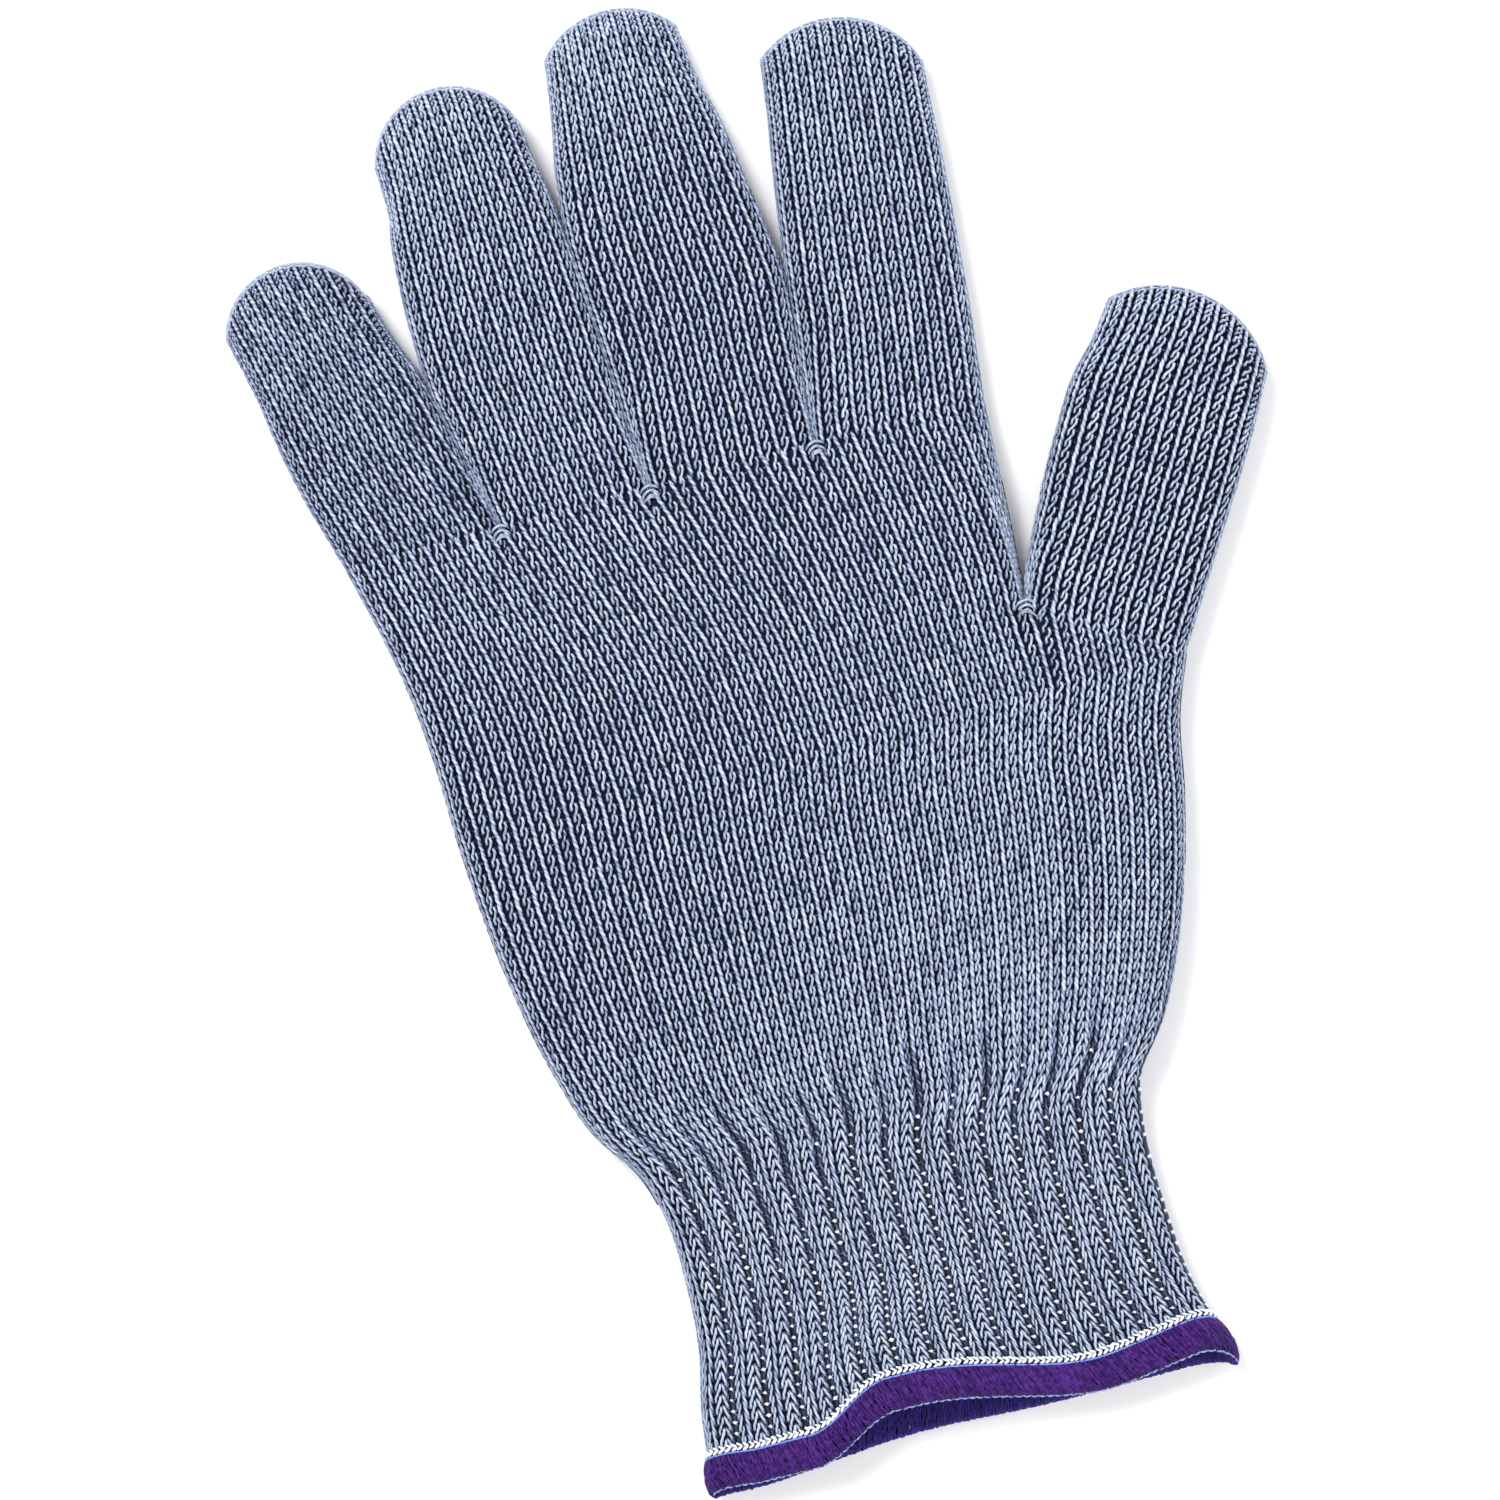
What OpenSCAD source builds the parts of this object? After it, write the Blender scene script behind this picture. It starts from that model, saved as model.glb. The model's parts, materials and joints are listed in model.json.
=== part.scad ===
// Seamless knitted work glove for the left or right hand, lying flat with its mouth open.
// +Y runs from the cuff to the fingertips, +X to the thumb, +Z up. z = 0 is what it lies on.
// Each finger is a knitted tube that folds upward about the crease in its top layer, so the
// stretches between two folds are separate sleeves on separate bodies.

/* [Fabric] */
// Thickness of one layer of the knitted fabric
wall = 1.5; // [1.3:0.1:1.7]
// Height of the finger tubes as they lie
finger_h = 8.6; // [8:0.1:9]
// Height of the palm at the thumb crotch
palm_h = 10.4; // [10:0.1:11]
// Height of the palm at the ball of the thumb, its fullest place
ball_h = 11.8; // [11:0.1:12.5]
// Height of the cuff
cuff_h = 10.6; // [10:0.1:11]

/* [Finger lengths, from crotch to tip] */
// Little finger
little_l = 52; // [48:0.5:56]
// Ring finger
ring_l = 72; // [68:0.5:76]
// Middle finger
middle_l = 78.5; // [74:0.5:82]
// Index finger
index_l = 68.5; // [64:0.5:72]
// Thumb
thumb_l = 57; // [53:0.5:60]

/* [Finger widths, where they leave the palm] */
// Little finger
little_w = 26.4; // [25:0.1:27]
// Ring finger
ring_w = 25.4; // [24.5:0.1:26]
// Middle finger
middle_w = 28.2; // [27:0.1:28.5]
// Index finger
index_w = 28.8; // [27.5:0.1:29.5]
// Thumb
thumb_w = 27.6; // [26.5:0.1:28]
// Part of that width left at the fingertip
tip_taper = 0.93; // [0.86:0.01:0.94]

/* [Finger directions, degrees from +Y towards the thumb] */
// Little finger
little_a = -13.5; // [-14:0.5:-13]
// Ring finger
ring_a = -4.5; // [-5:0.5:-4]
// Middle finger
middle_a = 0; // [-0.5:0.5:0.5]
// Index finger
index_a = 6; // [5.5:0.5:6.5]
// Thumb
thumb_a = 31; // [30:0.5:32]

/* [Palm and cuff] */
// Height on +Y of the line where the fingers start
finger_y = 43.6; // [43:0.1:44.5]
// Height on +Y of the thumb crotch
crotch_y = 9.4; // [9:0.1:10]
// Height on +Y of the wrist fold, where the cuff starts
wrist_y = -71.6; // [-73:0.1:-70]
// Height on +Y of the stitched line above the hem
hem_y = -112.4; // [-113:0.1:-111]
// Width of the hem, from the stitched line to the lip
hem_w = 8.8; // [8:0.1:9.5]

/* [Motion] */
// Gap left at each fold between two sleeves on different bodies
fold_gap = 0.3; // [0.2:0.05:0.4]
// Length of finger root that stays with the palm
root_l = 7; // [6.5:0.1:7.5]

/* [Hidden] */

// Facets of each rounded side of a sleeve.
side_steps = 6;
// Radius of the fingertip arc, how far round it the last ring lies, and its height there.
tip_r = 14;
tip_end_a = 74;
tip_end_h = 4;
tip_rings = 4;
// Sideways room left between neighbouring fingers, and between sleeves of one body.
side_gap = 0.3;
seam_gap = 0.1;
// Elastic threads laid into the cuff, counted along it.
elastic_n = 9;
elastic_w = 0.9;
elastic_t = 0.5;
// Lengths along the hem taken by the white stitches and by the thread on the lip.
stitch_w = 1.3;
lip_w = 0.9;
// Radius of the knots that close the crotches, and how far up the valley they sit.
tie_r = 1;
tie_z = 7.35;
tie_in = 1.5;

// Left edge of the hand at the line where the fingers start.
hand_x = -73.1;
little_x = hand_x + little_w / 2;
ring_x = little_x + (little_w + ring_w) / 2;
middle_x = ring_x + (ring_w + middle_w) / 2;
index_x = middle_x + (middle_w + index_w) / 2;
hand_x1 = index_x + index_w / 2;
// Middle of the thumb's base.
thumb_at = [45.3, 1.5];
thumb_x1 = thumb_at.x + thumb_w / 2 * cos(thumb_a);
thumb_y0 = thumb_at.y - thumb_w / 2 * sin(thumb_a);
thumb_h = 10;

// Each finger: its base, direction, length, base width, height and its two upper folds.
function finger(x, a, l, w, folds) = [[x, finger_y], a, l, w * cos(a), finger_h, folds];
INDEX = finger(index_x, index_a, index_l, index_w, [27.5, 48]);
MIDDLE = finger(middle_x, middle_a, middle_l, middle_w, [30, 54]);
RING = finger(ring_x, ring_a, ring_l, ring_w, [28, 50]);
LITTLE = finger(little_x, little_a, little_l, little_w, [21.5, 36]);
THUMB = [thumb_at, thumb_a, thumb_l, thumb_w, thumb_h, [31]];

// Outline of the palm as [y, left x, right x, height], from the cuff to the fingers.
LOWER = [
    [wrist_y + fold_gap / 2, -50.4, 33, cuff_h],
    [-62.5, -53.2, 37.2, cuff_h + 0.3],
    [-57, -57.1, 40.6, cuff_h + 0.6],
    [-45.4, -60.8, 45.6, ball_h - 0.3],
    [-25.6, -64, 52, ball_h],
    [thumb_y0, -66, thumb_x1, palm_h + 0.8],
    [crotch_y - seam_gap / 2, -66.9, thumb_x1 + 1, palm_h]];
UPPER = [
    [crotch_y + seam_gap / 2, -66.9, 33.6, palm_h],
    [27, -69, 34.6, (palm_h + finger_h) / 2 + 0.1],
    [finger_y - seam_gap, hand_x, hand_x1, finger_h]];
// The same for the cuff, from the lip to the wrist fold.
lip_y = hem_y - hem_w;
CUFF = [
    [lip_y, -51.6, 35, cuff_h - 1.2],
    [hem_y, -53.6, 33.6, cuff_h - 0.4],
    [-98, -51, 32.2, cuff_h],
    [-86, -48.9, 31.6, cuff_h],
    [wrist_y - fold_gap / 2, -50.4, 33, cuff_h]];

// The outline at height y, between the two stations it falls between.
function station(list, y) =
    let (k = max([for (i = [0 : len(list) - 2]) list[i].x <= y ? i : 0]),
         f = (y - list[k].x) / (list[k + 1].x - list[k].x))
    list[k] + f * (list[k + 1] - list[k]);
// The part of the outline from y0 to y1.
function stretch(list, y0, y1) = concat(
    [station(list, y0)], [for (s = list) if (s.x > y0 && s.x < y1) s], [station(list, y1)]);

// One ring of points at a station: flat below and above, round at the sides, inset by t.
// A fifth number in the station slants the ring, as its rise on y for each unit of x.
function ring(s, t) =
    let (r = s[3] / 2 - t, n = side_steps, slant = is_undef(s[4]) ? 0 : s[4])
    [for (side = [2, 1]) for (i = [0 : n])
        let (a = 180 * i / n + (side == 2 ? -90 : 90),
             x = s[side] + (side == 2 ? -1 : 1) * s[3] / 2 + r * cos(a))
        [x, s[0] + slant * x, s[3] / 2 + r * sin(a)]];
function join(lists) = [for (l = lists) each l];
// The strip of triangles from ring a to ring b, both numbered from their first point.
function strip(a, b, n) = join([for (i = [0 : n - 1]) let (j = (i + 1) % n)
    [[a + i, a + j, b + j], [a + i, b + j, b + i]]]);

// A tube between two lists of rings, outer and inner, closed at its far end when asked.
module tube(outer, inner, closed = false) {
    n = len(outer[0]);
    k = len(outer);
    m = len(inner);
    first_in = k * n;
    last_out = (k - 1) * n;
    last_in = first_in + (m - 1) * n;
    outside = join([for (j = [0 : k - 2]) strip(j * n, (j + 1) * n, n)]);
    inside = join([for (j = [0 : m - 2])
        strip(first_in + (j + 1) * n, first_in + j * n, n)]);
    near_end = strip(first_in, 0, n);
    far_end = closed
        ? [[for (i = [0 : n - 1]) last_out + i], [for (i = [n - 1 : -1 : 0]) last_in + i]]
        : strip(last_out, last_in, n);
    polyhedron(points = concat(join(outer), join(inner)),
        faces = concat(outside, inside, near_end, far_end));
}
// A sleeve of fabric along a list of stations, from inset t0 to inset t1.
module sleeve(list, t0 = 0, t1 = wall) {
    tube([for (s = list) ring(s, t0)], [for (s = list) ring(s, t1)]);
}

// Stations along a finger, from its base to where the round tip starts.
function half_w(f, s) = f[3] / 2 * (1 - (1 - tip_taper) * s / f[2]) - side_gap / 2;
function across(f, s) = [s, -half_w(f, s), half_w(f, s), f[4]];
// Station on the round tip at angle a, for a layer inset by t.
function tip_station(f, a, t) =
    let (far = f[2] - tip_r, w = (tip_r - t) * cos(a), rise = (1 - cos(a)) / (1 - cos(tip_end_a)))
    [far + (tip_r - t) * sin(a), -w - t, w + t, f[4] + (tip_end_h - f[4]) * rise];
function tip_start(f) = acos(half_w(f, f[2] - tip_r / 2) / tip_r);
function tip_list(f, t) = [for (i = [0 : tip_rings])
    tip_station(f, tip_start(f) + (tip_end_a - tip_start(f)) * i / tip_rings, t)];

// Puts a shape drawn along +Y onto a finger's base and direction.
module at_finger(f) {
    translate([f[0].x, f[0].y, 0]) rotate(-f[1]) children();
}
// The stretch of a finger tube from s0 to s1, open at both ends.
module finger_part(f, s0, s1) {
    color("lightsteelblue") at_finger(f) sleeve([across(f, s0), across(f, s1)]);
}
// The stretch from s0 to the closed fingertip.
module finger_end(f, s0) {
    color("lightsteelblue") at_finger(f) tube(
        concat([ring(across(f, s0), 0)], [for (s = tip_list(f, 0)) ring(s, 0)]),
        concat([ring(across(f, s0), wall)], [for (s = tip_list(f, wall)) ring(s, wall)]),
        closed = true);
}
// The root of a finger, whose first ring is slanted to meet the straight edge of the palm.
module root(f, slanted = true) {
    base = concat(across(f, 0), [slanted ? tan(f[1]) : 0]);
    color("lightsteelblue") at_finger(f) sleeve([base, across(f, root_l - fold_gap / 2)]);
}
// The other sleeves of a finger, each trimmed by half a gap at its folds.
module proximal(f) { finger_part(f, root_l + fold_gap / 2, f[5][0] - fold_gap / 2); }
module intermediate(f) { finger_part(f, f[5][0] + fold_gap / 2, f[5][1] - fold_gap / 2); }
module tip(f) { finger_end(f, f[5][len(f[5]) - 1] + fold_gap / 2); }

module lower_palm() {
    color("lightsteelblue") difference() {
        sleeve(LOWER);
        at_finger(THUMB) translate([-thumb_w / 2, -seam_gap, -1])
            cube([2 * thumb_w, thumb_l, 2 * ball_h]);
    }
}
module upper_palm() {
    color("lightsteelblue") sleeve(UPPER);
}
// A knot of yarn in the valley between two fingers.
module tie(x, y, z) {
    translate([x, y, z]) sphere(r = tie_r, $fn = 16);
}
module finger_crotch_ties() {
    color("powderblue") for (x = [little_x + little_w / 2, ring_x + ring_w / 2, middle_x + middle_w / 2])
        tie(x, finger_y + tie_in, tie_z);
}
module thumb_crotch_tie() {
    color("powderblue") tie(thumb_at.x - thumb_w / 2 * cos(thumb_a) + 0.1,
        crotch_y + tie_in, thumb_h - tie_r);
}
module cuff() {
    color("slategray") sleeve(stretch(CUFF, hem_y, wrist_y - fold_gap / 2));
}
// Elastic threads that run round the cuff on the inner side of its stitches.
module cuff_elastic_threads() {
    pitch = (wrist_y - hem_y) / (elastic_n + 1);
    color("white") for (i = [1 : elastic_n])
        sleeve(stretch(CUFF, hem_y + i * pitch, hem_y + i * pitch + elastic_w), wall, wall + elastic_t);
}
module hem_stitch_thread() {
    color("white") sleeve(stretch(CUFF, hem_y - stitch_w, hem_y - seam_gap));
}
// The overlocked band is two threads: one lies outside the fabric's edge and one inside.
module hem_outer_thread() {
    color("indigo") sleeve(stretch(CUFF, lip_y + lip_w, hem_y - stitch_w - seam_gap), 0, wall / 2);
}
module hem_inner_thread() {
    color("midnightblue") sleeve(stretch(CUFF, lip_y + lip_w, hem_y - stitch_w - seam_gap), wall / 2, wall);
}
module hem_lip_thread() {
    color("skyblue") sleeve(stretch(CUFF, lip_y, lip_y + lip_w - seam_gap));
}

lower_palm();
upper_palm();
finger_crotch_ties();
thumb_crotch_tie();
root(INDEX);  // index_root
root(MIDDLE);  // middle_root
root(RING);  // ring_root
root(LITTLE);  // little_root
root(THUMB, slanted = false);  // thumb_root
proximal(INDEX);  // index_proximal
intermediate(INDEX);  // index_middle
tip(INDEX);  // index_tip
proximal(MIDDLE);  // middle_proximal
intermediate(MIDDLE);  // middle_middle
tip(MIDDLE);  // middle_tip
proximal(RING);  // ring_proximal
intermediate(RING);  // ring_middle
tip(RING);  // ring_tip
proximal(LITTLE);  // little_proximal
intermediate(LITTLE);  // little_middle
tip(LITTLE);  // little_tip
proximal(THUMB);  // thumb_proximal
tip(THUMB);  // thumb_tip
cuff();
cuff_elastic_threads();
hem_stitch_thread();
hem_outer_thread();
hem_inner_thread();
hem_lip_thread();
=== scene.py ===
"""Looks of a seamless knitted work glove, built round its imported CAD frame.

Every stitch is a piece of yarn: each wale has a nearly straight leg that joins its neighbours
into a rope, and a curled leg beside it. The stitches follow surfaces worked out here in
millimetres. In a surface, p counts wales round the tube, first over the front layer from left
to right and then over the back, and v counts courses along it.
"""
import json

import bpy
import numpy as np
from mathutils import Matrix, Vector


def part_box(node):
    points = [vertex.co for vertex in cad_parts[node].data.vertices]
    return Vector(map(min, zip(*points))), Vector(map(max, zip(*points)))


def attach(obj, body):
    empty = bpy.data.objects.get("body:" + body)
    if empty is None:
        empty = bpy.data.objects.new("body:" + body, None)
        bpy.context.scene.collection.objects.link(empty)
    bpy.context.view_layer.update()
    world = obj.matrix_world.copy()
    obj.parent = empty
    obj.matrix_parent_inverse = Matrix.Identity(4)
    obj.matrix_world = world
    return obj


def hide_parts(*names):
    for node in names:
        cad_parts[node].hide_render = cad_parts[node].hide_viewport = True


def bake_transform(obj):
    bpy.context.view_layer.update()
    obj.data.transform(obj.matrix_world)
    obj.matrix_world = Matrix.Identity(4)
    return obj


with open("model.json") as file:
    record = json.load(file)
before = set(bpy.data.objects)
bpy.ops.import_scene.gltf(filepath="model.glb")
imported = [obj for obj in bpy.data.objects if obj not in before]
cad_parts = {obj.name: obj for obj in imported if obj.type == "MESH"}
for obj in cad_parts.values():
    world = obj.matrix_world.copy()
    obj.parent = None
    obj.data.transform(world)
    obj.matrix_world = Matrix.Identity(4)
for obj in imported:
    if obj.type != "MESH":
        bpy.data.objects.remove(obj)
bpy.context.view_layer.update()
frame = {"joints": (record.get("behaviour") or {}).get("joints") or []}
MM = 0.001

# ---------------------------------------------------------------- sizes from the frame, in mm
joints = {j["name"]: j for j in frame["joints"]}


def low(node):
    return np.array(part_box(node)[0]) / MM


def high(node):
    return np.array(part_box(node)[1]) / MM


FINGER_Y = high("upper_palm")[1]
CROTCH_Y = low("upper_palm")[1]
WRIST_Y = high("cuff")[1]
HEM_Y = low("cuff")[1]
FINGER_H = high("index_proximal")[2]
THUMB_H = high("thumb_proximal")[2]
PALM_H = high("upper_palm")[2]
BALL_H = high("lower_palm")[2]
CUFF_H = high("cuff")[2]

# ---------------------------------------------------------------- how the glove is knitted
FINGER_WALES = 11
THUMB_WALES = 10
PALM_WALES = 38
HAND_WALES = 45
SHARED = 2  # wales that two neighbouring fingers share where they join the palm
COURSE = 1.845
TIP_COURSES = 2  # courses more at a tip, where the tube bends down over its end
CUFF_COURSES = 22
HAND_COURSES = 66
PALM_COURSES = 19
ROPE_R = 0.335
CURL_R = 0.245
UNDER_R = 0.26
SINKER_R = 0.12
SINK = 0.42  # how far the yarn stands out of the surfaces below
SHADE_SHEET_DEPTH = 0.5  # depth of a near-black sheet under the yarn, painted shade that shows in the gaps
TUCK = 0.35  # how much room, in wales, those tucked in at a crotch take up
ROOT_L = 7.0
GROOVE_SHADE = 0.07  # painted shade: how much darker than its height the groove of a twisted yarn is painted
RIB_TONE = 0.8  # how much lighter the yarn of the ribs is than that of the plain knit
RIB_DIP = 0.27  # how far every third wale of the ribs sinks, in mm
EDGE_AT = 0.4  # height of a tube's side edge, as a part of the tube's height
PALM_ROUND = (6.0, 4.0)  # how far in from the side the front and the back layer bend, in mm
FINGER_ROUND = (5.0, 3.5)
TIP_ROUND = (6.5, 4.0)
TIP_RUN = 26.0  # how far back from a tip its courses start to bow
ROOT_RUN = 20.0  # how far up a finger the wales tucked in at its root spread out again
SEED = 7


def smooth(t):
    t = np.clip(t, 0, 1)
    return t * t * (3 - 2 * t)


def rounded(t):
    """Rises from 0 to 1 along a quarter circle, as the side of a lying tube does."""
    return np.sqrt(np.clip(1 - (1 - np.clip(t, 0, 1)) ** 2, 0, 1))


def hump(x, middle, width):
    return np.exp(-(((x - middle) / width) ** 2))


def curve(*points):
    """A smooth function through points (t, value)."""
    t = np.array([p[0] for p in points], float)
    y = np.array([p[1] for p in points], float)
    slope = np.gradient(y, t)

    def at(x):
        x = np.asarray(x, float)
        i = np.clip(np.searchsorted(t, x) - 1, 0, len(t) - 2)
        h = t[i + 1] - t[i]
        k = np.clip((x - t[i]) / h, 0, 1)
        return (
            y[i] * (1 + 2 * k) * (1 - k) ** 2
            + slope[i] * h * k * (1 - k) ** 2
            + y[i + 1] * k * k * (3 - 2 * k)
            + slope[i + 1] * h * k * k * (k - 1)
        )

    return at


def side_of(p, n):
    """Front or back layer, and how far across it from left to right, of a place round a tube."""
    p = np.mod(p, 2 * n)
    front = p < n
    return front, np.where(front, p, 2 * n - p) / n


def places(n, tucked=(0, 0)):
    """Across a lying tube, 0 to 1: the edges of its wales, with some tucked in at each side."""
    k = np.arange(n + 1)
    before, after = tucked
    tuck = TUCK / n
    first, last = tuck * (before > 0), 1 - tuck * (after > 0)
    inner = np.clip((k - before) / (n - before - after), 0, 1)
    at = first + (last - first) * inner
    at = np.where(k < before, tuck * k / max(before, 1), at)
    return np.where(k > n - after, 1 - tuck * (n - k) / max(after, 1), at)


def layer_z(front, height, top_side, back_side, lift=0.0):
    """Height of the fabric: top_side and back_side run from 0 at an edge to 1 on the flat."""
    middle = height * EDGE_AT
    floor_z = SINK + 0.1 + lift
    top = middle + (height - SINK - middle) * top_side
    return np.where(front, top, middle - (middle - floor_z) * back_side)


# ---------------------------------------------------------------- fingers
class Finger:
    """A finger tube: the outlines give how far it reaches left and right of its own axis."""

    def __init__(self, name, wales, height, length, left, right, tip_r, tip_q, tucked):
        first = joints[f"{name}_base_fold" if name == "thumb" else f"{name}_knuckle_fold"]
        axis = np.array(first["axis"], float)[:2]
        self.name, self.n, self.height, self.length = name, wales, height, length
        self.along = np.array([-axis[1], axis[0]])
        self.right_way = axis
        self.base = np.array(first["pos_m"][:2]) / MM - ROOT_L * self.along
        self.slant = 0 if name == "thumb" else self.along[0] / self.along[1]
        self.left, self.right = curve(*left), curve(*right)
        self.tip_r, self.tip_q = tip_r, tip_q
        self.at_root = places(wales, tucked)
        self.courses = int(round(length / COURSE)) + TIP_COURSES
        self.step = length / (self.courses - TIP_COURSES)
        folds = [joints[j] for j in (f"{name}_middle_fold", f"{name}_end_fold") if j in joints]
        self.folds = [
            float((np.array(j["pos_m"][:2]) / MM - self.base) @ self.along) for j in folds]

    def point(self, s, q, z):
        xy = self.base + s[..., None] * self.along + q[..., None] * self.right_way
        return np.concatenate([xy, z[..., None]], axis=-1)

    def surface(self, p, v):
        front, w = side_of(p, self.n)
        s = self.step * (v - 0.5 * np.clip(v - self.courses + 2 * TIP_COURSES, 0, None))
        at_root = np.interp(w * self.n, np.arange(self.n + 1), self.at_root)
        xi = 2 * (w + (at_root - w) * (1 - smooth(s / ROOT_RUN))) - 1
        left, right = self.left(s), self.right(s)
        half = (right - left) / 2
        q = (right + left) / 2 + xi * half
        bow = np.sqrt(np.clip(self.tip_r**2 - (q - self.tip_q) ** 2, 1, None))
        end = self.length - self.tip_r + bow
        s = s - (self.length - end) * smooth((s - self.length + TIP_RUN) / TIP_RUN)
        s = np.where(s > end, end + 0.15 * (s - end), s)
        from_tip = np.clip(end - s, 0, None)
        from_side = (1 - np.abs(xi)) * half
        z = layer_z(
            front,
            self.height,
            rounded(from_side / FINGER_ROUND[0]) * rounded(from_tip / TIP_ROUND[0]),
            rounded(from_side / FINGER_ROUND[1]) * rounded(from_tip / TIP_ROUND[1]),
        )
        s = s + q * self.slant * (1 - smooth(s / 25))
        return self.point(s, q, z)


LITTLE = Finger("little", FINGER_WALES, FINGER_H, 52.4,
    [(-4, -12.4), (4, -12.7), (14, -13.1), (24, -12.9), (36, -12.1), (53, -11.8)],
    [(-4, 12.9), (12, 13.2), (24, 13.1), (31, 12.4), (53, 11.6)], 12.3, -1.0, (0, 1))
RING = Finger("ring", FINGER_WALES, FINGER_H, 72.9,
    [(0, -12.6), (14, -14.6), (27, -15.9), (36, -15.6), (54, -13.6), (64, -12.5), (73, -12.1)],
    [(0, 12.6), (45, 13.4), (56, 13.0), (73, 12.3)], 12.6, 0.0, (1, 1))
MIDDLE = Finger("middle", FINGER_WALES, FINGER_H, 77.8,
    [(0, -14.1), (24, -15.5), (46, -16.3), (54, -15.4), (66, -13.9), (78, -12.3)],
    [(0, 14.1), (15, 15.4), (29, 16.3), (36, 15.6), (48, 13.9), (60, 12.3), (70, 10.6), (78, 9.6)],
    14.4, -1.2, (1, 1))
INDEX = Finger("index", FINGER_WALES, FINGER_H, 67.4,
    [(0, -14.3), (28, -14.4), (42, -13.9), (58, -13.2), (68, -13.0)],
    [(0, 14.2), (18, 14.3), (36, 13.9), (54, 13.3), (68, 12.9)], 16.0, -1.5, (1, 0))
THUMB = Finger("thumb", THUMB_WALES, THUMB_H, 57.6,
    [(0, -13.9), (6, -15.1), (18, -16.3), (30, -16.8), (42, -16.5), (50, -15.2), (58, -14.4)],
    [(0, 13.4), (12, 13.6), (30, 14.0), (42, 14.0), (58, 13.6)], 18.0, -2.2, (1, 0))
FINGERS = [LITTLE, RING, MIDDLE, INDEX]

# ---------------------------------------------------------------- palm and cuff
CROTCHES = np.array([*[f.surface(np.array(0.0), np.array(0.0))[0] for f in FINGERS],
                     INDEX.surface(np.array(float(FINGER_WALES)), np.array(0.0))[0]])
THUMB_LEFT = THUMB.surface(np.array(0.0), np.array(0.0))[:2]
THUMB_RIGHT = THUMB.surface(np.array(float(THUMB_WALES)), np.array(0.0))[:2]
left_edge = curve(
    (HEM_Y, -53.2), (-104, -52), (-96, -50), (-84, -49.1), (-72, -49.8), (-65, -52), (-57, -57.2),
    (-46, -61), (-28, -64.5), (-5, -66.5), (10, -66.9), (20, -67.8), (27, -69.0),
    (FINGER_Y, CROTCHES[0]))
right_edge = curve(
    (HEM_Y, 33.4), (-104, 31.2), (-92, 30.1), (-78, 30.3), (-70, 32.2), (-64, 36.8), (-57, 40.6),
    (-46, 45.2), (-28, 50.4), (-14, 53.4), (THUMB_RIGHT[1], THUMB_RIGHT[0]))
index_edge = curve((CROTCH_Y, THUMB_LEFT[0]), (20, 34.2), (FINGER_Y, CROTCHES[4]))
skew = curve((WRIST_Y, 0), (-50, 2), (-25, 3), (CROTCH_Y, 2), (20, 0.6), (FINGER_Y, 0))
hand_height = curve(
    (HEM_Y, CUFF_H - 1.2), (-95, CUFF_H - 0.2), (WRIST_Y, CUFF_H), (-50, BALL_H - 0.4),
    (-25, BALL_H), (CROTCH_Y, PALM_H), (30, 9.4), (FINGER_Y, FINGER_H))


def wales_at_thumb():
    """Across the whole hand at the thumb crotch: the edges between its wales, as (x, y)."""
    edges = np.arange(HAND_WALES + 1)
    own = PALM_WALES - SHARED
    part = np.where(edges < own, PALM_BOTTOM[np.minimum(edges, own)], 1)
    edge_x = left_edge(CROTCH_Y)
    palm_x = edge_x + (THUMB_LEFT[0] - edge_x) * part
    across = np.where(edges > own, THUMB.at_root[np.maximum(edges - own + 1, 0)], 0)
    x = palm_x + across * (THUMB_RIGHT[0] - THUMB_LEFT[0])
    return x, CROTCH_Y + across * (THUMB_RIGHT[1] - CROTCH_Y)


def relief(x, y):
    """Soft rises and hollows of the top layer where the empty glove settles."""
    from_fold = x - (9 + 0.28 * (y + 42))
    along_fold = smooth((y + 74) / 16) * (1 - smooth((y + 22) / 18))
    z = -1.3 * hump(from_fold, 0, 5.5) * along_fold
    z += 0.9 * hump(from_fold, 17, 11) * hump(y, -38, 17)
    z += 0.7 * hump(x, -22, 13) * hump(y, -38, 26)
    z -= 0.8 * hump(x, -46, 6) * hump(y, -48, 17)
    z += 0.5 * np.sin(x / 9.0 + y / 21.0) * smooth((y + 70) / 25) * (1 - smooth((y - 20) / 15))
    return z


def palm_surface(p, v):
    """The four-finger palm, from the thumb crotch up to the finger line."""
    front, w = side_of(p, PALM_WALES)
    y = CROTCH_Y + v * (FINGER_Y - CROTCH_Y) / PALM_COURSES
    a, b = left_edge(y), index_edge(y)
    edges = np.arange(PALM_WALES + 1)
    at_thumb = np.interp(w * PALM_WALES, edges, PALM_BOTTOM)
    ends = (CROTCHES - CROTCHES[0]) / (CROTCHES[4] - CROTCHES[0])
    at_fingers = np.interp(w * PALM_WALES, CROTCH_WALES, ends)
    part_up = (y - CROTCH_Y) / (FINGER_Y - CROTCH_Y)
    part = at_thumb + (at_fingers - at_thumb) * part_up**2 * (2 - part_up)
    x = a + (b - a) * part + skew(y) * np.sin(np.pi * part)
    from_side = np.minimum(x - a, b - x)
    apart = np.minimum(np.min(np.abs(x[..., None] - CROTCHES[1:4]), axis=-1), from_side)
    split = smooth((y - FINGER_Y + 9) / 9) ** 1.5
    top, back = (
        rounded(from_side / wide) * (1 - split) + rounded(apart / narrow) * split
        for wide, narrow in zip(PALM_ROUND, FINGER_ROUND)
    )
    z = layer_z(front, hand_height(y), top, back)
    return np.stack([x, y + 0 * x, z + np.where(front, relief(x, y), 0)], axis=-1)


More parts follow.
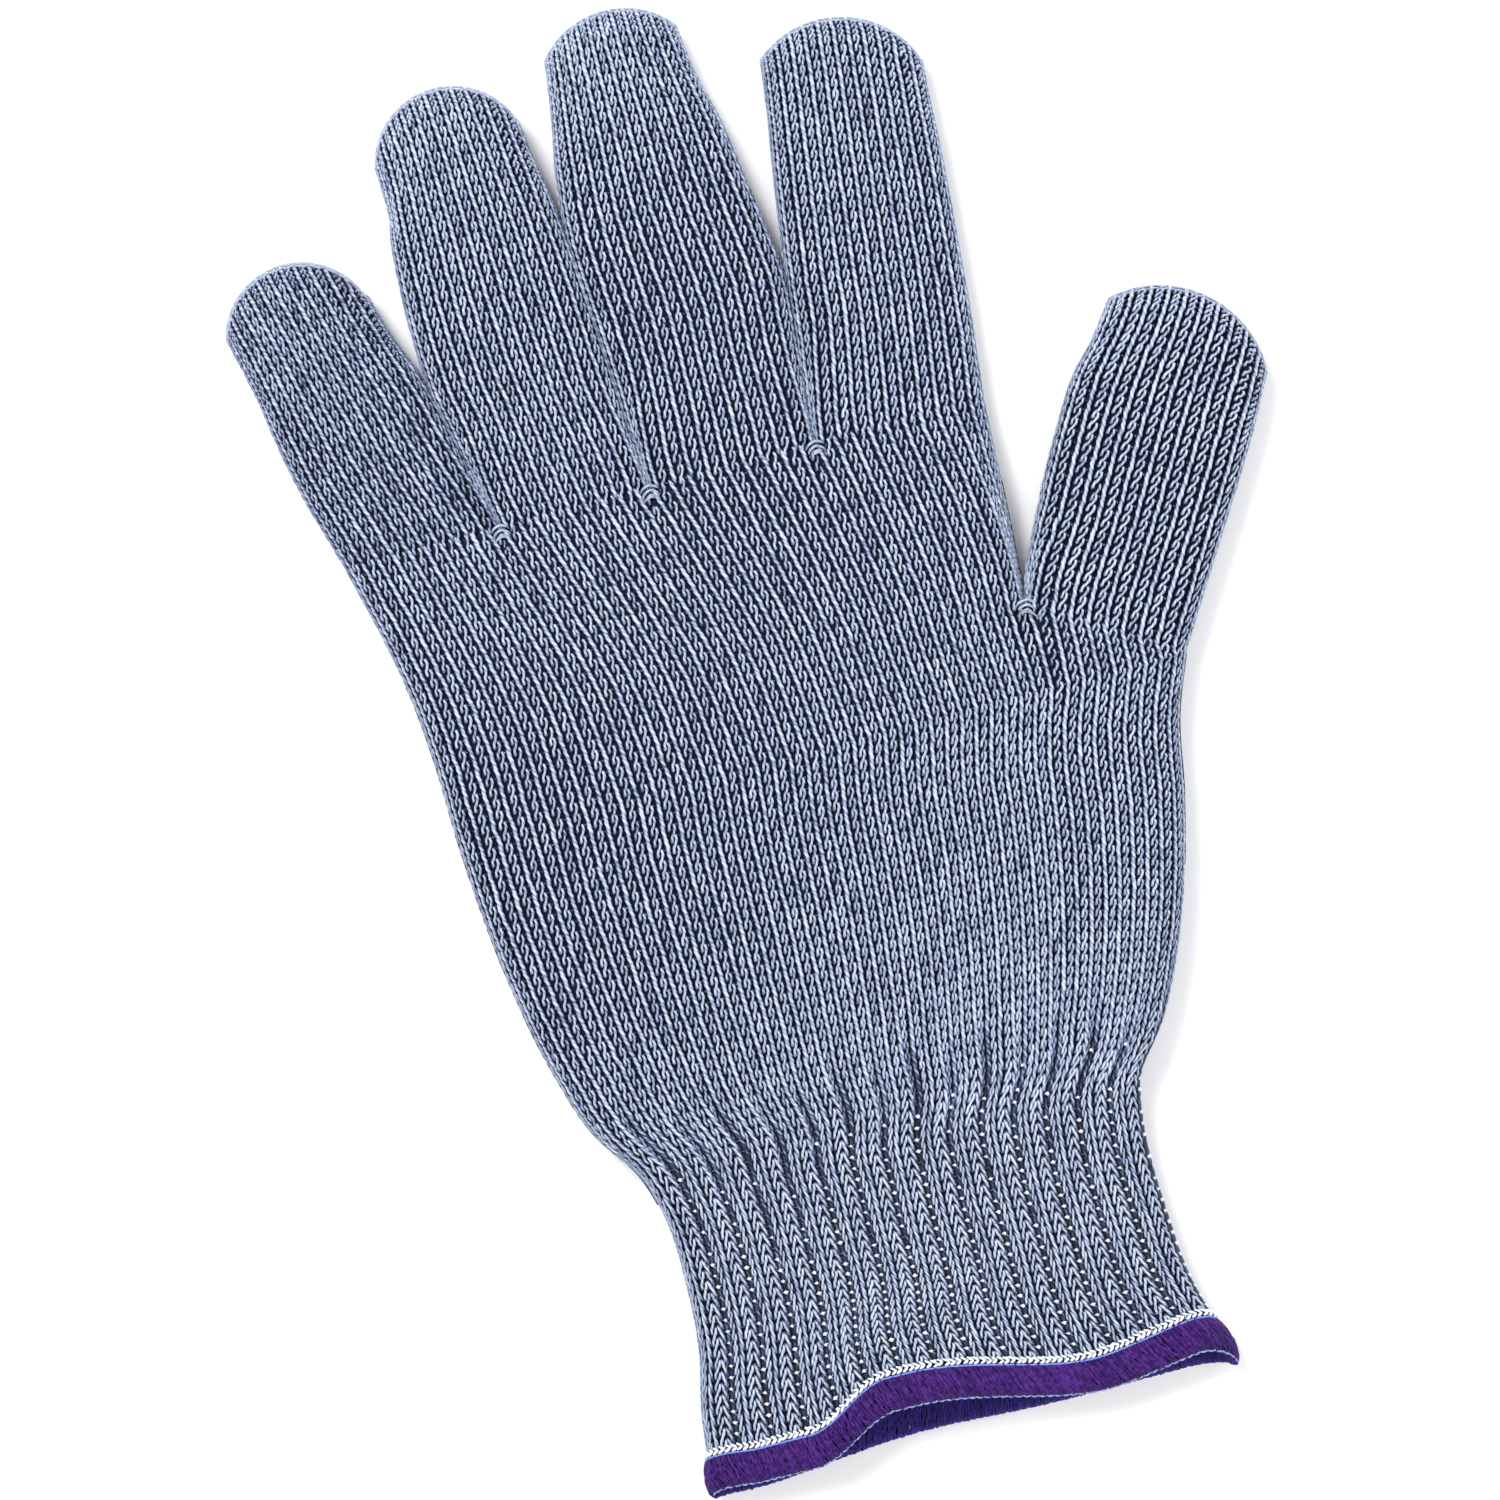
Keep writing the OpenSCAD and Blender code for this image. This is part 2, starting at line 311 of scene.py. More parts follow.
def hem_shift(x):
    """How far the top layer's edge is drawn back where the mouth stands open."""
    drawn = 6.4 * smooth((x + 36) / 15) * (1 - smooth((x + 18) / 31))
    return drawn - 0.3 + 2.4 * smooth((x - 12) / 20) + 0.7 * smooth((-44 - x) / 8)


def hand_surface(p, v):
    """Cuff and five-finger palm in one, from the hem's stitched line up to the thumb crotch."""
    front, w = side_of(p, HAND_WALES)
    u = w * HAND_WALES
    edges = np.arange(HAND_WALES + 1)
    top_x, top_y = np.interp(u, edges, THUMB_PLACES[0]), np.interp(u, edges, THUMB_PLACES[1])
    above = (v - CUFF_COURSES) / (HAND_COURSES - CUFF_COURSES)
    y = np.where(
        v < CUFF_COURSES,
        HEM_Y + v * (WRIST_Y - HEM_Y) / CUFF_COURSES,
        WRIST_Y + above * (top_y - WRIST_Y),
    )
    a, b = left_edge(y), right_edge(y)
    top_a = left_edge(top_y)
    tucked = (top_x - top_a) / (right_edge(top_y) - top_a)
    even = np.interp(u, [0, PALM_WALES - SHARED, HAND_WALES], [0, CROTCH_PART, 1])
    at_top = even + (tucked - even) * smooth((above - 0.75) / 0.25)
    part = w + (at_top - w) * np.clip(above, 0, None)
    palm_part = np.clip(u / (PALM_WALES - SHARED), 0, 1)
    x = a + (b - a) * part + skew(y) * np.sin(np.pi * palm_part)
    from_side = np.minimum(part, 1 - part) * (b - a)
    split = smooth((above - 0.88) / 0.12) ** 1.5
    apart = np.abs(x - THUMB_LEFT[0])
    top, back = (
        rounded(from_side / wide) * (1 - split * (1 - rounded(apart / narrow)))
        for wide, narrow in zip(PALM_ROUND, FINGER_ROUND)
    )
    at_hem = smooth((-104 - y) / 8)
    z = layer_z(front, hand_height(y), top, back, lift=0.9 * at_hem)
    open_part = smooth((-84 - y) / 28) ** 1.2
    z = z + np.where(front, relief(x, y), 0)
    z = z + np.where(front, open_part * top * (4.6 * hump(x, -16, 15) + 1.2 * hump(x, 27, 7)), 0)
    behind = 1.2 * hump(x, -18, 15) - 1.5 - 0.8 * hump(x, -45, 10)
    y = y + open_part * np.where(front, hem_shift(x) * top - 1.3 * (1 - top), behind)
    return np.stack([x, y, z], axis=-1)


PALM_BOTTOM = places(PALM_WALES, (0, 2))
CROTCH_WALES = [0, *(k * (FINGER_WALES - SHARED) + 1 for k in (1, 2, 3)), PALM_WALES]
THUMB_PLACES = wales_at_thumb()
CROTCH_PART = (THUMB_LEFT[0] - left_edge(CROTCH_Y)) / (right_edge(CROTCH_Y) - left_edge(CROTCH_Y))


# ---------------------------------------------------------------- yarn
def lift(surface, p, v, out):
    """Points at height out above a surface, and the surface's own directions there."""
    e = 0.02
    at = surface(p, v)
    across = surface(p + e, v) - surface(p - e, v)
    along = surface(p, v + e) - surface(p, v - e)
    normal = np.cross(across, along)
    normal /= np.maximum(np.linalg.norm(normal, axis=-1, keepdims=True), 1e-9)
    return at + normal * np.asarray(out)[..., None], normal


def tubes(centres, normals, radius, sides, twist=0.0):
    """Closed tubes along rows of points: vertices, quads and end caps."""
    n, m = centres.shape[:2]
    tangent = np.gradient(centres, axis=1)
    tangent /= np.maximum(np.linalg.norm(tangent, axis=-1, keepdims=True), 1e-9)
    side = np.cross(tangent, normals)
    side /= np.maximum(np.linalg.norm(side, axis=-1, keepdims=True), 1e-9)
    up = np.cross(side, tangent)
    angle = 2 * np.pi * np.arange(sides) / sides
    radius = np.broadcast_to(radius, (n, m))[..., None]
    if twist:
        turn = twist * np.arange(m)[None, :, None]
        radius = radius * (1 + 0.13 * np.cos(2 * (angle[None, None, :] - turn)))
    else:
        radius = radius * np.ones(sides)
    points = (
        centres[:, :, None, :]
        + (radius * np.cos(angle))[..., None] * side[:, :, None, :]
        + (radius * np.sin(angle))[..., None] * up[:, :, None, :]
    )
    ring = np.arange(sides)
    nxt = (ring + 1) % sides
    start = (np.arange(n)[:, None] * m + np.arange(m - 1)[None, :]).reshape(-1, 1) * sides
    quads = np.stack(
        [start + ring, start + sides + ring, start + sides + nxt, start + nxt], axis=-1
    ).reshape(-1, 4)
    near = np.arange(n)[:, None] * m * sides + ring
    far = near[:, ::-1] + (m - 1) * sides
    rise = np.einsum("nmsk,nmk->nms", points - centres[:, :, None, :], normals)
    # painted shade in the grooves between a yarn's plies
    if twist:
        rise = rise - GROOVE_SHADE * (1 - np.cos(2 * (angle[None, None, :] - turn)))
    return points.reshape(-1, 3), quads, np.concatenate([near, far]), rise


class Mesh:
    """Collects vertices and faces of several tubes and sheets, then makes one object."""

    def __init__(self, tone=0.0):
        self.points, self.faces, self.tones, self.depths, self.count = [], [], [], [], 0
        # tone is painted light: an offset that lightens or darkens every thread of the piece
        self.tone = tone

    def add(self, points, faces, material, tone=0.5, depth=0.5):
        self.points.append(points)
        self.tones.append(np.broadcast_to(tone, len(points)).astype(np.float32))
        self.depths.append(np.broadcast_to(depth, len(points)).astype(np.float32))
        self.faces += [(f + self.count, material) for f in faces]
        self.count += len(points)

    def add_tubes(self, made, material, tone=None, out=0.3):
        """Adds tubes with a tone each. out is how high their centres stand."""
        points, quads, caps, rise = made
        tone = 0.5 if tone is None else np.repeat(tone, rise[0].size)
        # depth, each point's height over the fabric, sets the painted shade and light of the yarn
        depth = rise + np.asarray(out)[..., None]
        self.add(points, [quads, caps], material, tone, depth.ravel())

    def make(self, name, materials):
        mesh = bpy.data.meshes.new(name)
        points = np.concatenate(self.points) * MM
        mesh.vertices.add(len(points))
        mesh.vertices.foreach_set("co", points.astype(np.float32).ravel())
        corners = np.concatenate([f.ravel() for f, _ in self.faces])
        sizes = np.concatenate([np.full(len(f), f.shape[1]) for f, _ in self.faces])
        kinds = np.concatenate([np.full(len(f), k) for f, k in self.faces])
        mesh.loops.add(len(corners))
        mesh.loops.foreach_set("vertex_index", corners.astype(np.int32))
        mesh.polygons.add(len(sizes))
        starts = np.concatenate([[0], np.cumsum(sizes)[:-1]])
        mesh.polygons.foreach_set("loop_start", starts.astype(np.int32))
        mesh.polygons.foreach_set("material_index", kinds.astype(np.int32))
        mesh.update(calc_edges=True)
        mesh.polygons.foreach_set("use_smooth", np.ones(len(sizes), bool))
        for name_of, values in (("tone", self.tones), ("depth", self.depths)):
            attribute = mesh.attributes.new(name_of, "FLOAT", "POINT")
            attribute.data.foreach_set("value", np.concatenate(values))
        for material in materials:
            mesh.materials.append(material)
        piece = bpy.data.objects.new(name, mesh)
        bpy.context.scene.collection.objects.link(piece)
        return piece


def between(rows, m):
    """A smooth row of m points through a few given ones."""
    rows = np.array(rows, float)
    length = np.concatenate([[0], np.cumsum(np.linalg.norm(np.diff(rows[:, :2], axis=0), axis=1))])
    t = np.linspace(0, length[-1], m)
    return np.stack([curve(*zip(length, rows[:, k]))(t) for k in range(rows.shape[1])], axis=-1)


# A wale is a curled leg and, right of it, a nearly straight one that joins its neighbours
# into a rope. Each is given as (across in wales, along in courses, height in mm, size of the
# yarn): once for the plain knit, and once for each of the two wales of a rib.
ROPE_PLAIN = [(1.15, 0.80, -0.26, 0.7), (1.155, 0.5, 0.0, 0.95), (1.18, 0.0, 0.10, 1.05),
              (1.205, -0.5, 0.0, 0.95), (1.21, -0.80, -0.26, 0.7)]
ROPE_RIBS = (
    [(0.80, 0.95, -0.30, 0.62), (0.85, 0.6, 0.0, 0.68), (0.96, 0.0, 0.12, 0.72),
     (1.09, -0.6, 0.02, 0.68), (1.16, -0.95, -0.30, 0.62)],
    [(1.02, 0.78, -0.28, 0.6), (1.08, 0.58, 0.02, 0.66), (1.27, 0.05, 0.13, 0.68),
     (1.46, -0.50, 0.02, 0.66), (1.53, -0.76, -0.28, 0.6)],
)
CURL_PLAIN = [(0.79, 0.66, -0.30, 0.8), (0.80, 0.60, 0.02, 1), (0.81, 0.44, 0.12, 1.05),
              (0.80, 0.18, 0.12, 1.02), (0.75, -0.06, 0.10, 1), (0.65, -0.30, 0.12, 1),
              (0.56, -0.54, 0.13, 1.03), (0.52, -0.80, 0.10, 1.05), (0.52, -0.98, 0.0, 1),
              (0.53, -1.05, -0.30, 0.8)]
CURL_RIBS = (
    [(0.56, 0.70, -0.34, 0.7), (0.56, 0.60, -0.05, 0.85), (0.53, 0.40, 0.1, 0.9),
     (0.47, 0.16, 0.12, 0.9), (0.40, -0.1, 0.12, 0.9), (0.33, -0.34, 0.12, 0.9),
     (0.27, -0.58, 0.1, 0.9), (0.24, -0.80, 0.0, 0.85), (0.23, -0.92, -0.12, 0.8),
     (0.23, -0.99, -0.34, 0.7)],
    [(0.92, 0.64, -0.32, 0.8), (0.92, 0.58, 0.0, 1), (0.89, 0.44, 0.14, 1.02),
     (0.82, 0.2, 0.14, 1), (0.71, -0.04, 0.12, 1), (0.60, -0.28, 0.12, 1),
     (0.51, -0.52, 0.12, 1), (0.46, -0.76, 0.08, 1), (0.44, -0.96, -0.04, 0.9),
     (0.44, -1.06, -0.32, 0.8)],
)
UNDER = [(0.69, 0.42, -0.5, 0.9), (0.67, 0.0, -0.34, 1), (0.65, -0.42, -0.5, 0.9)]
SINKER = [(0.93, 0.56, -0.3, 0.9), (0.97, 0.50, 0.04, 1.2), (1.0, 0.44, -0.3, 0.9)]
FRONT = dict(rope=(10, 8), curl=(14, 6), small=(4, 5))
BACK = dict(rope=(6, 6), curl=(9, 5), small=(3, 4))


def wale_of(column, n):
    """The wale at a column of stitches. The wale along each edge of a layer bends down the side
    of the tube, which takes two columns."""
    layer = np.floor_divide(column, n + 2)
    within = column - layer * (n + 2)
    to_edge = np.minimum(within, n + 2 - within)
    wales = np.where(to_edge < 2, to_edge**2 / 4, to_edge - 1)
    return np.where(within < n / 2 + 1, wales, n - wales) + layer * n


def legs(mesh, surface, p, third, v, rib, rows, rib_rows, radius, m, sides, rng, twist=0.0):
    """One leg of every stitch at columns p and courses v, as tubes of m rings of yarn.

    rib says how far each stitch has turned into a rib, and third is the place of its wale in
    the rib, 0 to 2."""
    plain = between(rows, m)
    ribs = np.stack([between(r, m) for r in rib_rows])
    kind = third % 2
    shape = plain[None] + (ribs[kind] - plain[None]) * rib[:, None, None]
    wander = rng.normal(0, [0.02, 0.03, 0.03], (len(p), 3))
    out = shape[..., 2] + wander[:, 2:3] - RIB_DIP * (rib * (third == 2))[:, None]
    centres, normals = lift(
        surface, p[:, None] + shape[..., 0] + wander[:, :1],
        v[:, None] + shape[..., 1] + wander[:, 1:2], out
    )
    thick = radius * shape[..., 3] * (1 + rng.normal(0, 0.04, (len(p), 1)))
    # random tone per thread, lighter in the ribs, plus the painted light of the whole piece
    tone = rng.random(len(p)) + rib * RIB_TONE + mesh.tone
    mesh.add_tubes(tubes(centres, normals, thick, sides, twist), 0, tone, out)


def shade_sheet(mesh, surface, n, v0, v1, material=1):
    """A near-black sheet under the yarn: painted shade that shows between the yarns."""
    p = np.linspace(0, 2 * n, 4 * n + 1)[:-1]
    v = np.linspace(v0, v1, int(round((v1 - v0) * 1.5)) + 2)
    grid_p, grid_v = np.meshgrid(p, v)
    points, _ = lift(surface, grid_p, grid_v, np.full(grid_p.shape, -SHADE_SHEET_DEPTH))
    m = len(p)
    rows = np.arange(len(v) - 1)[:, None] * m
    i, j = np.arange(m)[None, :], (np.arange(m)[None, :] + 1) % m
    quads = np.stack([rows + i, rows + j, rows + m + j, rows + m + i], axis=-1).reshape(-1, 4)
    mesh.add(points.reshape(-1, 3), [quads], material)


def closing(mesh, surface, n, v, rng):
    """The yarn that runs across a tip and draws it shut."""
    p = np.linspace(0, 2 * n, 12 * n)
    wave = 0.1 * np.sin(p * 2 * np.pi)
    out = np.full((1, len(p)), 0.1)
    for back in (0.12, 0.35, 0.85):
        centres, normals = lift(surface, p[None], (v - back + wave)[None], out)
        mesh.add_tubes(tubes(centres, normals, 0.3, 6, 0.8), 0, rng.random(1), out)


def knit(name, surface, n, v0, v1, rib_at=None, closed=False, tone=0.0):
    """A band of knitting round a tube, from course v0 to v1, as one mesh object."""
    rng = np.random.default_rng([SEED, *name.encode()])
    # tone is painted light for the whole piece, given per finger
    mesh = Mesh(tone)

    def on_columns(column, v):
        return surface(wale_of(column, n), v)

    for front, detail in ((True, FRONT), (False, BACK)):
        columns = np.arange(n + 2) + (0 if front else n + 2)
        p, v = (g.ravel().astype(float) for g in np.meshgrid(columns, np.arange(v0, v1) + 0.5))
        wale = np.floor(wale_of(p + 0.5, n))
        third = np.mod(wale, 3).astype(int)
        rib = np.zeros(len(p)) if rib_at is None else rib_at(wale, v)
        m, sides = detail["rope"]
        legs(mesh, on_columns, p, third, v, rib, ROPE_PLAIN, ROPE_RIBS, ROPE_R, m, sides, rng, 0.95)
        m, sides = detail["curl"]
        legs(mesh, on_columns, p, third, v, rib, CURL_PLAIN, CURL_RIBS, CURL_R, m, sides, rng, 0.8)
        m, sides = detail["small"]
        legs(mesh, on_columns, p, third, v, rib, UNDER, (UNDER,) * 2, UNDER_R, m, sides, rng)
        if front:
            legs(mesh, on_columns, p, third, v, rib, SINKER, (SINKER,) * 2, SINKER_R, m, sides, rng)
    # painted shade: a near-black sheet under the yarns fills the gaps between them
    shade_sheet(mesh, on_columns, n + 2, v0, v1)
    if closed:
        closing(mesh, surface, n, v1, rng)
    return mesh.make(name, [YARN, GAP_SHADE])


def rib_part(p, v):
    """How far the plain knit has turned into ribs, 0 to 1, going down into the cuff."""
    return smooth((33 - v + 1.5 * np.sin(p * 0.9)) / 11)


# ---------------------------------------------------------------- materials
MOTTLE_SCALE = 1400
FIBRE_SCALE = 2600
FIBRE_BUMP = 0.25
TONE_SHARE = 0.09  # how far a thread's own tone moves it along the colours


def node_material(name, roughness, sheen=0.0, specular=0.35):
    material = bpy.data.materials.new(name)
    material.use_nodes = True
    tree = material.node_tree
    shader = tree.nodes["Principled BSDF"]
    shader.inputs["Roughness"].default_value = roughness
    shader.inputs["Sheen Weight"].default_value = sheen
    shader.inputs["Specular IOR Level"].default_value = specular
    return material, tree, shader


def yarn_material(name, stops, deep=-0.42, high=0.48, mottling=0.34, sheen=0.15, specular=0.3):
    """Yarn with painted shade and light by height: dark where it sinks into the fabric and light on
    top, mottled, with fine fibres.

    stops are (place from the deepest to the highest point, colour)."""
    material, tree, shader = node_material(name, 0.7, sheen, specular)
    nodes, links = tree.nodes, tree.links
    place = nodes.new("ShaderNodeTexCoord")
    tone = nodes.new("ShaderNodeAttribute")
    tone.attribute_name = "tone"
    depth = nodes.new("ShaderNodeAttribute")
    depth.attribute_name = "depth"
    # painted shade: the depth attribute picks a colour from shaded near-black low down to lit on
    # top
    height = nodes.new("ShaderNodeMapRange")
    height.inputs["From Min"].default_value = deep
    height.inputs["From Max"].default_value = high
    links.new(depth.outputs["Fac"], height.inputs["Value"])
    mottle = nodes.new("ShaderNodeTexNoise")
    mottle.inputs["Scale"].default_value = MOTTLE_SCALE
    mottle.inputs["Detail"].default_value = 3
    links.new(place.outputs["Object"], mottle.inputs["Vector"])
    toned = nodes.new("ShaderNodeMath")
    toned.operation = "MULTIPLY_ADD"
    toned.inputs[1].default_value = TONE_SHARE
    links.new(tone.outputs["Fac"], toned.inputs[0])
    links.new(height.outputs["Result"], toned.inputs[2])
    mottled = nodes.new("ShaderNodeMath")
    mottled.operation = "MULTIPLY_ADD"
    mottled.inputs[1].default_value = mottling
    links.new(mottle.outputs["Fac"], mottled.inputs[0])
    links.new(toned.outputs[0], mottled.inputs[2])
    moved = nodes.new("ShaderNodeMath")
    moved.operation = "SUBTRACT"
    moved.inputs[1].default_value = TONE_SHARE / 2 + mottling / 2
    links.new(mottled.outputs[0], moved.inputs[0])
    ramp = nodes.new("ShaderNodeValToRGB")
    ramp.color_ramp.elements.remove(ramp.color_ramp.elements[1])
    for k, (at, colour) in enumerate(stops):
        element = ramp.color_ramp.elements[0] if k == 0 else ramp.color_ramp.elements.new(at)
        element.position = at
        element.color = (*colour, 1)
    links.new(moved.outputs[0], ramp.inputs["Fac"])
    links.new(ramp.outputs["Color"], shader.inputs["Base Color"])
    fibres = nodes.new("ShaderNodeTexNoise")
    fibres.inputs["Scale"].default_value = FIBRE_SCALE
    fibres.inputs["Detail"].default_value = 2
    links.new(place.outputs["Object"], fibres.inputs["Vector"])
    raised = nodes.new("ShaderNodeBump")
    raised.inputs["Strength"].default_value = FIBRE_BUMP
    raised.inputs["Distance"].default_value = 0.15 * MM
    links.new(fibres.outputs["Fac"], raised.inputs["Height"])
    links.new(raised.outputs["Normal"], shader.inputs["Normal"])
    return material


# Colours of a thread by depth: painted shade at the deepest point, then the middle, then the
# thread's own colour at the top.
def thread_stops(dark, mid, light):
    return [(0.0, dark), (0.55, mid), (1.0, light)]


# painted shade: the yarn's own light blue on top, painted down to near-black where it sinks into
# the fabric
YARN = yarn_material("glove_yarn", [
    (0.0, (0.002, 0.003, 0.007)), (0.36, (0.005, 0.007, 0.020)), (0.53, (0.034, 0.050, 0.115)),
    (0.68, (0.20, 0.25, 0.38)), (0.95, (0.50, 0.555, 0.66))], specular=0.22, sheen=0.1)
# painted shade: near-black colours of the sheet that stands in for the shadow between the yarns
GAP_SHADE = yarn_material("gap_fabric", thread_stops(
    (0.002, 0.003, 0.007), (0.004, 0.005, 0.012), (0.008, 0.011, 0.028)), specular=0.05, sheen=0.0)
# painted shade: each thread below is painted darker where it sinks in, from its depth
ELASTIC = yarn_material("elastic_thread", thread_stops(
    (0.03, 0.04, 0.09), (0.50, 0.54, 0.62), (0.82, 0.84, 0.88)), deep=-0.45, high=0.3)
WHITE = yarn_material("white_thread", thread_stops(
    (0.25, 0.30, 0.45), (0.68, 0.71, 0.76), (0.85, 0.86, 0.88)), deep=-0.2, high=0.2)
PURPLE = yarn_material("purple_thread", thread_stops(
    (0.003, 0.001, 0.014), (0.022, 0.002, 0.088), (0.085, 0.02, 0.22)),
    deep=-0.4, high=0.5, mottling=1.1, specular=0.2, sheen=0.02)
INDIGO = yarn_material("indigo_thread", thread_stops(
    (0.010, 0.005, 0.07), (0.034, 0.017, 0.24), (0.10, 0.07, 0.42)),
    deep=-0.4, high=0.5, mottling=1.0, specular=0.2, sheen=0.02)
BLUE = yarn_material("blue_thread", thread_stops(
    (0.03, 0.06, 0.28), (0.09, 0.17, 0.52), (0.17, 0.28, 0.65)), deep=-0.2, high=0.2)
PALE_BLUE = yarn_material("pale_blue_thread", thread_stops(
    (0.02, 0.02, 0.16), (0.16, 0.20, 0.52), (0.36, 0.43, 0.72)), deep=-0.2, high=0.25)


# ---------------------------------------------------------------- knitted pieces
def fold_blend(piece, finger):
    """Bakes a piece's placing into its mesh; the piece is not bent."""
    def place(s):
        xy = finger.base + s * finger.along
        return (xy[0] * MM, xy[1] * MM, 0)

    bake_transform(piece)


FINGER_PAINTED_LIGHT = {"little": -0.6, "thumb": 0.4}  # painted light: the thumb's yarn painted lighter and the little finger's darker, to even out what the key light does to the two


def knit_finger(finger):
    """Each finger is one piece per fold."""
    name = finger.name
    if name == "thumb":
        chain, folds = ["palm", "thumb_proximal", "thumb_tip"], [ROOT_L, finger.folds[0]]
    else:
        chain = ["palm", f"{name}_proximal", f"{name}_middle", f"{name}_tip"]
        folds = [ROOT_L, *finger.folds]
    step = finger.step
    cuts = [0, *[round((a + b) / 2 / step) for a, b in zip(folds, folds[1:])], finger.courses]
    for k, fold in enumerate(folds):
        last = k == len(folds) - 1
        piece = knit(f"{name}_knit_{k + 1}", finger.surface, finger.n, cuts[k], cuts[k + 1],
                     closed=last, tone=FINGER_PAINTED_LIGHT.get(name, 0.0))
        fold_blend(piece, finger)
        nodes = [chain[k + 1]] + ([f"{name}_root"] if k == 0 else [])
        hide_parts(*nodes)


for finger in [*FINGERS, THUMB]:
    knit_finger(finger)

for k, (v0, v1) in enumerate(((0, 9), (9, PALM_COURSES))):
    piece = knit(f"palm_knit_{k + 1}", palm_surface, PALM_WALES, v0, v1)
    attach(piece, "palm")
    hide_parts("upper_palm")

WRIST_LOW, WRIST_TOP = 17, 27  # the courses of the wrist piece, between the cuff and the hand
for k, (v0, v1) in enumerate(((59, 66), (52, 59), (45, 52), (39, 45), (33, 39), (WRIST_TOP, 33))):
    ribbed = rib_part if v0 < 36 else None
    piece = knit(f"hand_knit_{k + 1}", hand_surface, HAND_WALES, v0, v1, ribbed)
    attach(piece, "palm")
    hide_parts("lower_palm")

wrist = knit("wrist_knit", hand_surface, HAND_WALES, WRIST_LOW, WRIST_TOP, rib_part)
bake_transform(wrist)
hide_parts("cuff")
for k, (v0, v1) in enumerate(((9, WRIST_LOW), (0, 9))):
    piece = knit(f"cuff_knit_{k + 1}", hand_surface, HAND_WALES, v0, v1, rib_part)
    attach(piece, "cuff")
    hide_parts("cuff")


# ---------------------------------------------------------------- elastic, hem and knots
def elastic(name, v0, v1):
    """Elastic threads laid in round the cuff: each comes out as a bead between two ribs."""
    rng = np.random.default_rng([SEED, *name.encode()])
    mesh = Mesh()
    per_gap = 13
    for v in range(v0, v1):
        gaps = np.arange(3, 2 * HAND_WALES + 1, 3) - 0.62
        below_palm = v < CUFF_COURSES + 6 * rng.random(len(gaps))
        shown = below_palm & (rng.random(len(gaps)) < 1.25 - 0.025 * v)
        size = rng.uniform(0.8, 1.15, len(gaps)) * shown
        place = gaps[:, None] + np.linspace(-1.0, 2.0, per_gap)[None, :-1]
        bead = hump(place - gaps[:, None], 0.5, 0.17) * size[:, None]
        p, bead = place.ravel(), bead.ravel()
        p, bead = np.append(p, p[0] + 2 * HAND_WALES), np.append(bead, bead[0])
        out = -0.45 + 0.52 * bead
        centres, normals = lift(hand_surface, p[None], np.full((1, len(p)), v + 0.5), out[None])
        mesh.add_tubes(tubes(centres, normals, (0.1 + 0.23 * bead)[None], 6), 0, rng.random(1), out)
    return mesh.make(name, [ELASTIC])


lower_elastic = elastic("elastic_threads_cuff", 0, WRIST_LOW)
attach(lower_elastic, "cuff")
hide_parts("cuff_elastic_threads")
wrist_elastic = elastic("elastic_threads_wrist", WRIST_LOW, WRIST_TOP)
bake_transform(wrist_elastic)
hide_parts("cuff_elastic_threads")

BAND = 5.7  # width of the overlocked band, from the stitched line to the lip


def hem_points(p, down, out):
    """Points in the hem: down from the stitched line, and out from the fabric, in mm."""
    def edge_at(p, v):
        return hand_surface(wale_of(p * (HAND_WALES + 2) / HAND_WALES, HAND_WALES), v)

    e = 0.05
    at = edge_at(p, 0 * p)
    along = edge_at(p, 0 * p + e) - at
    along /= np.linalg.norm(along, axis=-1, keepdims=True)
    across = edge_at(p + e, 0 * p) - edge_at(p - e, 0 * p)
    normal = np.cross(across, along)
    normal /= np.linalg.norm(normal, axis=-1, keepdims=True)
    flare = 1 + 0.25 * hump(np.mod(p, 2 * HAND_WALES), HAND_WALES, 2.5)
    return at - along * (down * flare)[..., None] + normal * out[..., None], normal


OUTER_WRAP = [(-0.1, 0.25), (0.9, 0.75), (2.6, 0.95), (4.2, 0.8), (5.3, 0.3), (5.7, -0.4)]
INNER_WRAP = [(5.7, -0.25), (5.3, -0.85), (4.0, -1.15), (2.2, -1.1), (0.4, -0.85)]


def wraps(name, rows, radius, count, slant, material, m=11):
    """Overlock thread lying across the edge, turn beside turn."""
    rng = np.random.default_rng([SEED, *name.encode()])
    down, out = between(rows, m).T
    p = np.linspace(0, 2 * HAND_WALES, count, endpoint=False)[:, None]
    p = p + slant * down[None] / BAND + rng.normal(0, 0.05, (count, m))
    down = down[None] + rng.normal(0, 0.07, (count, 1))
    out = out[None] + rng.normal(0, 0.06, (count, m))
    centres, normals = hem_points(p, down, out)
    mesh = Mesh()
    thick = radius * rng.uniform(0.85, 1.15, (count, 1))
    tone, height = rng.random(count), rng.normal(0, 0.05, (count, 1))
    mesh.add_tubes(tubes(centres, normals, thick, 5), 0, tone, height)
    return mesh.make(name, [material])


def ring_thread(mesh, down, out, radius, count, wave=0.0, material=0):
    """A thread that runs right round the hem."""
    p = np.linspace(0, 2 * HAND_WALES, count)
    swing = wave * np.sin(p * 2 * np.pi / 0.6)
    centres, normals = hem_points(p[None], down + swing[None], np.full((1, count), out))
    mesh.add_tubes(tubes(centres, normals, radius, 6), material, out=0.0)


